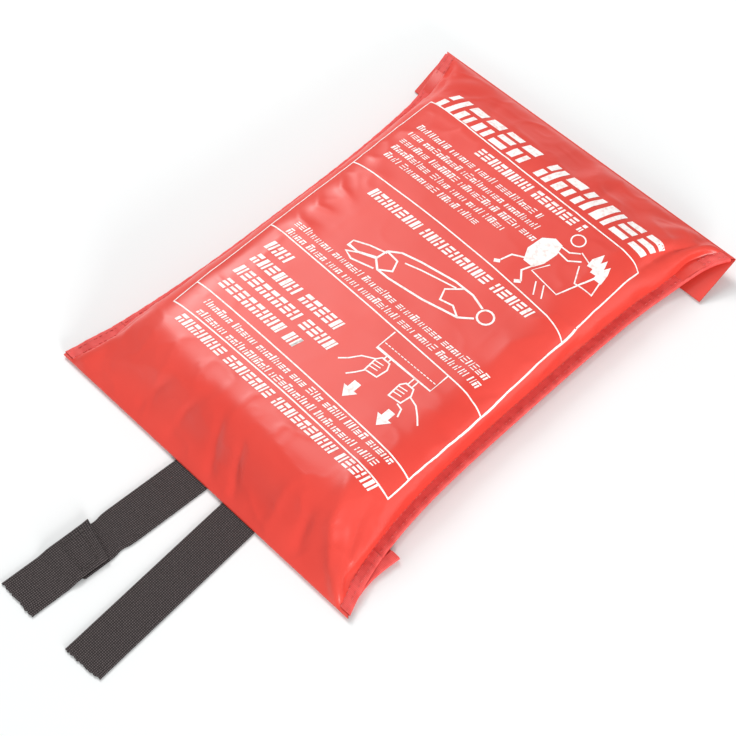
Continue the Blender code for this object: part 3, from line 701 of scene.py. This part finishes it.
def folded_strip(name, side, ys, edge, level, section, body, flat):
    """A tape that follows an edge: its section is (outwards, upwards) from that edge."""
    section = section if side > 0 else section[::-1]
    grid = []
    for y in ys:
        turn = y * 2 * math.pi
        pucker = 0.00016 * math.sin(turn / 0.0096) + 0.0001 * math.sin(turn / 0.0043 + 1)
        grid.append([(side * (abs(float(edge(y))) + out), y, float(level(y)) + up + (pucker if up > 0 else 0))
                     for out, up in section])
    strip = cloth_sheet(name, np.array(grid), BINDING, tape_red)
    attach(strip, body)
    return strip


to_edge = [(-BINDING_WIDTH, 0.00085), (-0.0050, 0.00100), (-0.0030, 0.00092), (-0.0010, 0.00105),
           (0.0001, 0.00095), (0.0006, 0.0005)]
upper_leg = to_edge + [(0.0006, -0.0001)]
both_legs = to_edge + [(0.0007, -0.0004), (0.0006, -0.0013), (0.0001, -0.0018), (-0.0030, -0.0019),
                       (-BINDING_WIDTH, -0.0018)]
flap_fold = [(-0.0050, 0.00092), (-0.0030, 0.00105), (-0.0002, 0.00090), (0.0005, 0.0005), (0.0006, 0.0),
             (0.0005, -0.0005), (-0.0002, -0.00084), (-0.0050, -0.00084)]
SIDES = ((-1, "left"), (1, "right"))
for side, word in SIDES:
    seam = (lambda y: edge_x(side, y), lambda y: seam_z(side, y))
    hem_edge = (lambda y: flap_half(y, side), lambda y: FLAP_Z + flap_lift(flap_half(y, side), y))
    binding = folded_strip(f"{word}_side_binding_tape", side, np.linspace(-0.1199, 0.1535, 200), *seam,
                           both_legs, "pouch", (0.0165, 0.276))
    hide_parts(f"{word}_side_binding")
    folded_strip(f"{word}_closure_edge_tape", side, np.linspace(-0.1545, -0.1201, 30), *seam,
                 upper_leg, "closure", (0.010, 0.036))
    hem = folded_strip(f"{word}_flap_hem_tape", side, np.linspace(-0.1515, -0.1132, 30), *hem_edge,
                       flap_fold, "closure", (0.0125, 0.039))
    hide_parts(f"{word}_flap_hem")

# ---------------------------------------------------------------------------
# Seam thread: two rows of lockstitch along each binding, 3.2 mm to the stitch,
# in a red thread a little lighter than the tape.
STITCH = 0.0024
STITCH_SPACING = 0.0032
THREAD_RADIUS = 0.00024

stitching = bpy.data.node_groups.new("lockstitch_row", "GeometryNodeTree")
for label, way, kind in (("Geometry", "INPUT", "Geometry"), ("Stitch Length", "INPUT", "Float"),
                         ("Spacing", "INPUT", "Float"), ("Thread Radius", "INPUT", "Float"),
                         ("Thread", "INPUT", "Material"), ("Geometry", "OUTPUT", "Geometry")):
    stitching.interface.new_socket(label, in_out=way, socket_type="NodeSocket" + kind)
given, result, to_curve, resample, tangent, stitch, align, size_of, place, realize, coat, half = (
    stitching.nodes.new(kind) for kind in (
        "NodeGroupInput", "NodeGroupOutput", "GeometryNodeMeshToCurve", "GeometryNodeResampleCurve",
        "GeometryNodeInputTangent", "GeometryNodeMeshUVSphere", "FunctionNodeAlignRotationToVector",
        "ShaderNodeCombineXYZ", "GeometryNodeInstanceOnPoints", "GeometryNodeRealizeInstances",
        "GeometryNodeSetMaterial", "ShaderNodeMath"))
resample.mode = "LENGTH"
align.axis = "X"
half.operation = "MULTIPLY"
half.inputs[1].default_value = 0.5
stitch.inputs["Segments"].default_value = 8
stitch.inputs["Rings"].default_value = 5
stitch.inputs["Radius"].default_value = 1.0
for source, value, target, field in (
        (given, "Geometry", to_curve, "Mesh"), (to_curve, "Curve", resample, "Curve"),
        (given, "Spacing", resample, "Length"), (resample, "Curve", place, "Points"),
        (stitch, "Mesh", place, "Instance"), (tangent, "Tangent", align, "Vector"),
        (align, "Rotation", place, "Rotation"), (given, "Stitch Length", half, 0),
        (half, 0, size_of, "X"), (given, "Thread Radius", size_of, "Y"),
        (given, "Thread Radius", size_of, "Z"), (size_of, "Vector", place, "Scale"),
        (place, "Instances", realize, "Geometry"), (realize, "Geometry", coat, "Geometry"),
        (given, "Thread", coat, "Material"), (coat, "Geometry", result, "Geometry")):
    stitching.links.new(source.outputs[value], target.inputs[field])


def stitch_rows(name, lines, thread, body):
    """Stitches along one or more lines of points, as one plain mesh."""
    mesh = bpy.data.meshes.new(name + "_line")
    vertices, edges = [], []
    for line in lines:
        first = len(vertices)
        vertices += [tuple(map(float, point)) for point in line]
        edges += [(i, i + 1) for i in range(first, len(vertices) - 1)]
    mesh.from_pydata(vertices, edges, [])
    guide = link_piece(name + "_line", mesh, smooth=False)
    modifier = guide.modifiers.new("stitches", "NODES")
    modifier.node_group = stitching
    values = {"Stitch Length": STITCH, "Spacing": STITCH_SPACING, "Thread Radius": THREAD_RADIUS, "Thread": thread}
    for item in stitching.interface.items_tree:
        if item.name in values:
            modifier[item.identifier] = values[item.name]
    guide.update_tag()
    finished = bpy.data.meshes.new_from_object(guide.evaluated_get(bpy.context.evaluated_depsgraph_get()))
    bpy.data.objects.remove(guide)
    finished.name = name
    obj = link_piece(name, finished)
    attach(obj, body)
    return obj


def bonded_thread(name, dark, light, roughness):
    """Bonded polyester thread: twisted and slightly glossy, so each stitch has a small light top."""
    made, shader, add, paint, emboss = new_material(name)
    twist = add("ShaderNodeTexNoise", {"Scale": 1400.0, "Detail": 1.0}, Vector="object")
    paint(twist, (0.3, dark), (0.7, light))
    emboss(0.4, 0.0001, twist)
    shader.inputs["Roughness"].default_value = roughness
    return made


def seam_rows(side, start, stop, count):
    """Two rows on a binding, near its outer and its inner edge."""
    return [[(side * (abs(float(edge_x(side, y))) - inset), y, float(seam_z(side, y)) + up)
             for y in np.linspace(start, stop, count)]
            for inset, up in ((0.0016, 0.00128), (0.0058, 0.00122))]


red_thread = bonded_thread("bonded_polyester_thread_red", "#C63A38", "#EE7A74", 0.45)
for side, word in SIDES:
    lines = seam_rows(side, -0.1175, 0.152, 120)
    thread = stitch_rows(f"{word}_seam_stitches", lines, red_thread, "pouch")
    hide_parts(f"{word}_seam_thread")
    lines = seam_rows(side, -0.1535, -0.1210, 20)
    stitch_rows(f"{word}_closure_edge_stitches", lines, red_thread, "closure")

# ---------------------------------------------------------------------------
# Pull tapes: 25 mm black webbing, woven with a rib across it every 1.1 mm. Each
# is sewn flat on the folded blanket's front edge and runs out under the pouch's
# bottom edge. The left one is lengthened by a piece lapped over its end.
TAPE_WIDTH = 0.025
WEBBING = 0.0012
RIB = 0.0011
YARN = 0.00115
LAP_INNER_Y = -0.2170
LAP_OUTER_Y = -0.2370
TAPE_END_Y = -0.2680
CLIMB_Y = -0.1560
BEND = 0.004
PANEL_TOP_Z = 0.0046
FLOOR_Z = 0.0008
LEFT_TAPE_X, RIGHT_TAPE_X = -0.0062, 0.0312
GAP = 0.0003


def along_path(path, spacing):
    """Points spaced evenly along a line, with its length so far."""
    path = np.array(path)
    far = summed(np.linalg.norm(np.diff(path, axis=0), axis=1))
    at = np.linspace(0, far[-1], int(far[-1] / spacing) + 1)
    return np.stack([np.interp(at, far, path[:, k]) for k in range(2)], axis=1), at


def tape_line(end_y):
    """From its end along the table, up under the closure, and up the pack's front."""
    line = [(end_y, FLOOR_Z), (CLIMB_Y, FLOOR_Z)]
    for k in range(1, 13):
        rise = float(smooth_step(k / 12, 0, 1))
        line.append((CLIMB_Y + 0.0135 * (k / 12), mix(FLOOR_Z, PANEL_TOP_Z, rise)))
    for k in range(11):
        angle = math.radians(-90 + 9 * k)
        line.append((-0.1304 + BEND * math.cos(angle), PANEL_TOP_Z + BEND + BEND * math.sin(angle)))
    line.append((-0.1264, 0.0205))
    return line


# Ribbed polypropylene webbing: dull black-brown with a regular speckle. Its colour also paints light
# and shade on the ribs: a painted highlight on each crest and painted shade, almost black, between them.
webbing, shader, add, paint, emboss = new_material("woven_polypropylene_webbing")
ribs = add("ShaderNodeTexWave", {"bands_direction": "Y", "Scale": 2 * math.pi / (20 * RIB)}, Vector="cut")
yarn = add("ShaderNodeTexWave", {"bands_direction": "X", "Scale": 2 * math.pi / (20 * YARN),
                                 "Distortion": 1.2, "Detail": 1.0, "Detail Scale": 1.5}, Vector="cut")
both = add("ShaderNodeMath", {"operation": "MULTIPLY"}, i0=ribs, i1=yarn)
fleck = add("ShaderNodeTexNoise", {"Scale": 700.0, "Detail": 2.0}, Vector="cut")
# Painted highlight on the rib crests and painted shade between the ribs, mixed with a speckle
rib_shade_and_speckle = add("ShaderNodeMath", {"operation": "MULTIPLY_ADD"}, i0=fleck, i1=0.5, i2=both)
paint(rib_shade_and_speckle, (0.20, "#1B1717"), (0.60, "#3B3434"), (0.95, "#655C5C"))
emboss(0.7, 0.0003, rib_shade_and_speckle)
shader.inputs["Roughness"].default_value = 0.72
shader.inputs["Specular IOR Level"].default_value = 0.3
shader.inputs["Specular IOR Level"].default_value = 0.3


def webbing_strip(name, line, centre, width, end_cut, seed, inner_cut=None):
    """A ribbed strip along a path in YZ. end_cut and inner_cut move each end's yarns in or out."""
    path, far = along_path(line, RIB / 4)
    count = 26
    spread = np.linspace(-0.5, 0.5, count)
    x = centre(path[:, 0])[:, None] + spread[None, :] * width(path[:, 0])[:, None]
    points = np.stack([x, path[:, 0][:, None] + 0 * x, path[:, 1][:, None] + 0 * x], axis=-1)
    random = np.random.default_rng(seed)
    jag = end_cut(spread) + random.uniform(-0.0006, 0.0006, count)
    points[:, :, 1] += jag[None, :] * np.clip(1 - far / 0.012, 0, 1)[:, None]
    if inner_cut is not None:
        points[:, :, 1] += inner_cut(spread)[None, :] * np.clip(1 - (far[-1] - far) / 0.012, 0, 1)[:, None]
    normal = normals_of(points)
    crest = np.abs(np.sin(np.pi * far / RIB))[:, None]
    edge_round = np.clip(1 - (np.abs(spread) * 2) ** 14, 0, 1)[None, :]
    lift = 0.00016 * (crest - 0.5) + 0.0002 * (edge_round - 1)
    total = points + normal * lift[..., None]
    cut_u, cut_v = np.meshgrid(spread * TAPE_WIDTH, far)
    strip = cloth_sheet(name, total, WEBBING - GAP, webbing, cut=(cut_u, cut_v), normals=normals_of(total))
    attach(strip, "blanket")
    return strip

right_tape = webbing_strip(
    "right_pull_tape_webbing", tape_line(TAPE_END_Y),
    lambda y: RIGHT_TAPE_X - 0.057 * (np.minimum(y, -HALF_LENGTH) + HALF_LENGTH),
    lambda y: TAPE_WIDTH + 0 * y, lambda t: 0.0018 * t, 1)
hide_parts("right_pull_tape")
left_tape = webbing_strip(
    "left_pull_tape_webbing", tape_line(LAP_OUTER_Y),
    lambda y: LEFT_TAPE_X + 0.055 * (np.minimum(y, -HALF_LENGTH) + HALF_LENGTH),
    lambda y: TAPE_WIDTH - 0.0022 * np.exp(-((y + 0.2120) / 0.0042) ** 2), lambda t: 0 * t, 2)
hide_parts("left_pull_tape")
raised = FLOOR_Z + WEBBING + GAP
lap_line = [(TAPE_END_Y, FLOOR_Z), (-0.2470, FLOOR_Z)]
for k in range(1, 9):
    lap_line.append((-0.2470 + 0.0085 * k / 8, mix(FLOOR_Z, raised, float(smooth_step(k / 8, 0, 1)))))
lap_line += [(LAP_INNER_Y - 0.003, raised), (LAP_INNER_Y, raised + 0.0005)]
tape_end = webbing_strip(
    "left_tape_end_webbing", lap_line, lambda y: -0.0105 + 0.062 * (y - LAP_INNER_Y),
    lambda y: TAPE_WIDTH + 0.0008 + 0 * y, lambda t: -0.0010 - 0.0012 * t, 3, lambda t: -0.0070 * t)
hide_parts("left_tape_end")


def box_of(corners, steps=12):
    """A closed line through four corners."""
    line = []
    for a, b in zip(corners, corners[1:] + corners[:1]):
        line += [tuple(mix(np.array(a), np.array(b), k / steps)) for k in range(steps)]
    return line + [corners[0]]


# Black thread: a box of stitches on the lap, and one on each tape where it is sewn to the blanket
black_thread = bonded_thread("bonded_polyester_thread_black", "#1B1817", "#4E4744", 0.5)
thread_z = raised + WEBBING / 2 + GAP
lap_corners = [(-0.0200, -0.2205, thread_z), (-0.0015, -0.2245, thread_z),
               (-0.0022, -0.2350, thread_z), (-0.0212, -0.2330, thread_z)]
lap_lines = [box_of(lap_corners)]
lap_thread = stitch_rows("left_tape_lap_stitches", lap_lines, black_thread, "blanket")
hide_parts("left_tape_lap_thread")
half = TAPE_WIDTH / 2 - 0.003
face_y = -0.1255 - GAP - WEBBING - GAP
for word, middle in (("left", LEFT_TAPE_X), ("right", RIGHT_TAPE_X)):
    left, right = middle - half, middle + half
    corners = [(left, face_y, 0.0115), (right, face_y, 0.0115), (right, face_y, 0.0185), (left, face_y, 0.0185)]
    lines = [box_of(corners)]
    thread = stitch_rows(f"{word}_tape_box_stitches", lines, black_thread, "blanket")
    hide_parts(f"{word}_tape_box_thread")

# ---------------------------------------------------------------------------
# Print: white screen-printed film on the front, a frame with four panels. The
# wording is plain marks, not letters, and the three pictures are plain figures.
FILM_LIFT = 0.00014
PRINT_STEP = 0.0010

bpy.context.view_layer.update()
face_tree = BVHTree.FromPolygons([v.co.copy() for v in front.data.vertices],
                                 [tuple(p.vertices) for p in front.data.polygons])
print_vertices, print_faces = [], []


def film_patch(corners):
    """A printed quadrilateral, (x, y) in mm, laid on the face in small steps."""
    corners = [np.array(c, float) for c in corners]
    long_u = max(np.linalg.norm(corners[1] - corners[0]), np.linalg.norm(corners[2] - corners[3])) / 1000
    long_v = max(np.linalg.norm(corners[3] - corners[0]), np.linalg.norm(corners[2] - corners[1])) / 1000
    count_u = max(1, math.ceil(long_u / PRINT_STEP))
    count_v = max(1, math.ceil(long_v / PRINT_STEP))
    first = len(print_vertices)
    for j in range(count_v + 1):
        for i in range(count_u + 1):
            u, v = i / count_u, j / count_v
            spot = mix(mix(corners[0], corners[1], u), mix(corners[3], corners[2], u), v)
            hit, normal = face_tree.ray_cast(Vector((*spot / 1000, 0.1)), Vector((0, 0, -1)))[:2]
            print_vertices.append(tuple(hit + normal * FILM_LIFT))
    wide = count_u + 1
    for j in range(count_v):
        for i in range(count_u):
            a = first + j * wide + i
            face = (a, a + 1, a + wide + 1, a + wide)
            p, q, r = (Vector(print_vertices[k]) for k in face[:3])
            print_faces.append(face if (q - p).cross(r - q).z > 0 else face[::-1])


def film_line(points, width):
    """A printed line through points, in mm, with mitred joints."""
    points = [np.array(p, float) for p in points]
    sides_of = []
    for k, point in enumerate(points):
        before = points[max(k - 1, 0)]
        after = points[min(k + 1, len(points) - 1)]
        ahead = after - before
        ahead /= max(np.linalg.norm(ahead), 1e-9)
        normal = np.array([-ahead[1], ahead[0]])
        stretch = 1.0
        if 0 < k < len(points) - 1:
            into = point - before
            into /= max(np.linalg.norm(into), 1e-9)
            stretch = 1 / max(0.5, abs(np.dot(np.array([-into[1], into[0]]), normal)))
        sides_of.append((point - normal * width / 2 * stretch, point + normal * width / 2 * stretch))
    for (a, b), (c, d) in zip(sides_of, sides_of[1:]):
        film_patch([a, c, d, b])


def film_bars(x0, x1, base, height, seed, stroke, mixed=False):
    """A line of wording as plain marks: pairs of upright or level strokes in words, leaning to the right."""
    random = np.random.default_rng(seed)
    lean = 0.24

    def mark(left, right, low, high):
        film_patch([(left + lean * low, base + low), (right + lean * low, base + low),
                    (right + lean * high, base + high), (left + lean * high, base + high)])

    x = x0
    word_left = random.integers(3, 9)
    while x < x1 - height * 0.3:
        wide = min(height * random.uniform(0.58, 0.70), x1 - x)
        tall = height * (0.74 if mixed and random.random() < 0.7 else 1.0)
        kind = random.integers(0, 4)
        line = height * stroke
        if kind == 0:
            mark(x, x + line * 1.5, 0, tall)
            mark(x + wide - line * 0.8, x + wide, 0, tall)
        elif kind == 1:
            for low in (0, (tall - line) / 2, tall - line):
                mark(x, x + wide, low, low + line)
        elif kind == 2:
            mark(x, x + line, 0, tall * 0.42)
            mark(x, x + line, tall * 0.56, tall)
            mark(x + wide - line, x + wide, 0, tall)
        else:
            mark(x, x + wide, tall - line * 1.5, tall)
            mark(x, x + wide * 0.45, 0, tall - line * 2.2)
            mark(x + wide * 0.68, x + wide, 0, tall - line * 2.2)
        x += wide + height * 0.19
        word_left -= 1
        if word_left <= 0:
            x += height * 0.40
            word_left = random.integers(3, 10)


def film_rule(left, middle, right, width):
    """A printed rule across the panel, a little bowed by the way the filled pouch bulges."""
    (x0, y0), y1, (x2, y2) = left, middle, right
    bow = y1 - (y0 + y2) / 2
    film_line([(mix(x0, x2, t), mix(y0, y2, t) + 4 * bow * t * (1 - t)) for t in np.linspace(0, 1, 13)], width)


# The frame: side lines, five rules across it, and the wording's rows, each (left, right, base, height, seed)
film_line([(-84.2, 109), (-82.9, 42), (-82.9, -24), (-82, -81), (-81.3, -99)], 0.65)
film_line([(84.6, 103), (85.4, 37), (86.6, -29), (87.2, -85), (87.8, -101)], 0.65)
for left, middle, right in (((-84.5, 109), 105.4, (84.8, 103)), ((-83.2, 42), 43.2, (85.6, 37.5)),
                            ((-83.2, -24), -26, (86.8, -29)), ((-82.2, -81), -81.6, (87.4, -85)),
                            ((-81.6, -99), -97.8, (88.1, -101))):
    film_rule(left, middle, right, 0.9)
film_bars(-81, 88, 108.5, 17.5, 1, 0.24)
film_bars(-36, 46, 95.0, 6.4, 2, 0.22)
for k, (start, stop) in enumerate(((-74, 23), (-74, 28), (-74, 33), (-74, 14), (-73, 1))):
    film_bars(start, stop, 85.5 - 7.2 * k, 4.4, 10 + k, 0.14, mixed=True)
film_bars(-59, 65, 29.5, 6.8, 3, 0.22)
for k, (start, stop) in enumerate(((-72, 79), (-72, 76))):
    film_bars(start, stop, -16.0 - 6.9 * k, 4.4, 20 + k, 0.14, mixed=True)
for k, (start, stop) in enumerate(((-73, -55), (-72, 0), (-73, 6), (-72, -12))):
    film_bars(start, stop, -39.0 - 11.9 * k, 7.4, 30 + k, 0.23)
for k, (start, stop) in enumerate(((-68, 77), (-66, 73))):
    film_bars(start, stop, -89.0 - 7.2 * k, 4.4, 40 + k, 0.17, mixed=True)
film_bars(-71, 80, -107.3, 6.2, 50, 0.22)


def film_circle(x, y, radius, width, start=0, stop=360):
    film_line([(x + radius * math.cos(math.radians(a)), y + radius * math.sin(math.radians(a)))
               for a in np.linspace(start, stop, 17)], width)


def film_fan(centre, outline):
    """A solid printed shape, as thin wedges from its middle."""
    for a, b in zip(outline, outline[1:] + outline[:1]):
        film_patch([centre, a, b, centre])


# A plain figure that lowers a blanket over a burning pan
film_circle(50, 90, 4.2, 0.9)
film_fan((40, 70), [(34, 77), (40, 82), (46, 81), (48, 74), (47, 64), (44, 58), (37, 58), (33, 66)])
for width, *points in (
        (1.0, (45, 80), (52, 80), (57, 84)), (1.0, (47, 76), (55, 75), (61, 80)),
        (1.1, (37, 60), (30, 56), (28, 49)), (2.4, (28.5, 48), (25.5, 46)),
        (1.1, (44, 60), (41, 52), (46, 46)), (2.4, (46, 46), (43, 43.5)),
        (0.8, (57, 85), (74, 79), (66, 53), (45, 56), (50, 66)),
        (0.8, (62, 77), (68, 66), (79, 68), (77, 78)), (0.8, (52, 52), (57, 44)), (0.8, (57, 53), (62, 45))):
    film_line(points, width)
for x, y in ((67, 85), (71, 83), (75, 81)):
    film_fan((x, y), [(x - 2, y - 5), (x - 3, y + 1), (x, y + 8), (x + 2, y + 3), (x + 3, y - 4)])
# A plain figure lying rolled up in the blanket
film_circle(49, 14, 4.8, 1.2)
for width, *points in (
        (1.3, (44, 17), (34, 20), (21, 20), (-2, 16), (-14, 13), (-21, 8)),
        (1.3, (45, 9), (38, 3), (16, -2), (-7, -5), (-16, -5), (-22, 0), (-21, 8)),
        (1.1, (-21, 8), (-12, 7), (-9, 0), (-16, -5)), (1.1, (28, 20), (20, 12), (23, 5), (31, 7), (38, 3)),
        (1.1, (-20, 7), (-31, 4), (-40, 0), (-40, -4), (-33, -4), (-22, 1)),
        (1.1, (-22, 0), (-32, -4), (-38, -8), (-32, -10), (-18, -6)), (1.0, (24, 17), (2, 12), (-8, 9))):
    film_line(points, width)
# The pouch, two hands on its tapes, and which way to pull
film_line([(21, -28), (21, -42), (61, -42), (61, -28)], 0.9)
for k in range(16):
    x = 22.2 + 2.4 * k
    film_patch([(x, -37.2), (x + 1.7, -37.2), (x + 1.7, -36.6), (x, -36.6)])
for x, y in ((30.5, 0), (51, -2.5)):
    for edge in (-1.5, 1.5):
        film_line([(x + edge, -42), (x + edge, -45 + y)], 0.8)
    film_line([(x - 4.5, -48 + y), (x - 2.5, -45 + y), (x + 3, -45 + y), (x + 5, -49 + y), (x + 4, -56 + y),
               (x - 4, -57 + y), (x - 4.5, -48 + y)], 0.9)
    for k in range(3):
        film_line([(x - 4.2, -49 + y - 2.3 * k), (x + 1.5, -48.2 + y - 2.3 * k)], 0.7)
for x in (30, 55.5):
    film_patch([(x - 2.4, -65.5), (x + 2.4, -65.5), (x + 2.4, -71), (x - 2.4, -71)])
    film_patch([(x - 5, -71), (x + 5, -71), (x, -77.5), (x, -77.5)])
for arm in ([(26, -48), (19, -52), (15, -58), (11, -62)], [(27, -57), (24, -62), (21, -66)],
            [(55.5, -52), (62, -54), (67, -58), (71, -62)], [(54, -60), (58, -61), (60, -66)]):
    film_line(arm, 0.9)

# Vinyl screen ink: an opaque slightly warm white, satin, a little thin in places so that
# the red shows faintly through.
ink, shader, add, paint, emboss = new_material("vinyl_screen_ink")
thin = add("ShaderNodeTexNoise", {"Scale": 420.0, "Detail": 2.0}, Vector="object")
paint(thin, (0.28, "#F6D9D3"), (0.52, "#FFFAF7"))
emboss(0.1, 0.0001, thin)
shader.inputs["Roughness"].default_value = 0.5
print_mesh = bpy.data.meshes.new("screen_print")
print_mesh.from_pydata(print_vertices, [], print_faces)
print_mesh.validate()
film = link_piece("screen_print", print_mesh, ink)
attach(film, "pouch")

# ---------------------------------------------------------------------------
# Eyelets and washers: nickel-plated brass, pressed and set through the header,
# bright with faint turning marks, a little duller on the faces that rub the wall.
plated, shader, add, paint, emboss = new_material("nickel_plated_brass")
haze = add("ShaderNodeTexNoise", {"Scale": 350.0, "Detail": 3.0}, Vector="object")
paint(haze, (0.3, "#B9B6AE"), (0.7, "#D5D2CA"))
rub = add("ShaderNodeMapRange", {"To Min": 0.18, "To Max": 0.36}, Value=haze)
plated.node_tree.links.new(rub.outputs["Result"], shader.inputs["Roughness"])
shader.inputs["Metallic"].default_value = 1.0
for name in ("left_eyelet", "right_eyelet", "left_eyelet_washer", "right_eyelet_washer"):
    cad[name].data.materials.clear()
    cad[name].data.materials.append(plated)

# ---------------------------------------------------------------------------
# Hook and loop: nylon patches, the loop sewn under the back's mouth edge and the
# hook on the closure, with a dense matt pile of about 0.5 mm between the loops.
pile, shader, add, paint, emboss = new_material("nylon_hook_and_loop")
cells = add("ShaderNodeTexVoronoi", {"Scale": 1500.0}, Vector="object")
# Painted shade: the colour is darker between the loops and lighter on their raised tops
paint(cells, (0.0, "#2C2A2B"), (0.8, "#0E0D0D"))
emboss(0.9, 0.0003, cells, invert=True)
shader.inputs["Roughness"].default_value = 0.95
shader.inputs["Sheen Weight"].default_value = 0.4
for name in ("left_loop_patch", "right_loop_patch", "left_hook_patch", "right_hook_patch"):
    cad[name].data.materials.clear()
    cad[name].data.materials.append(pile)
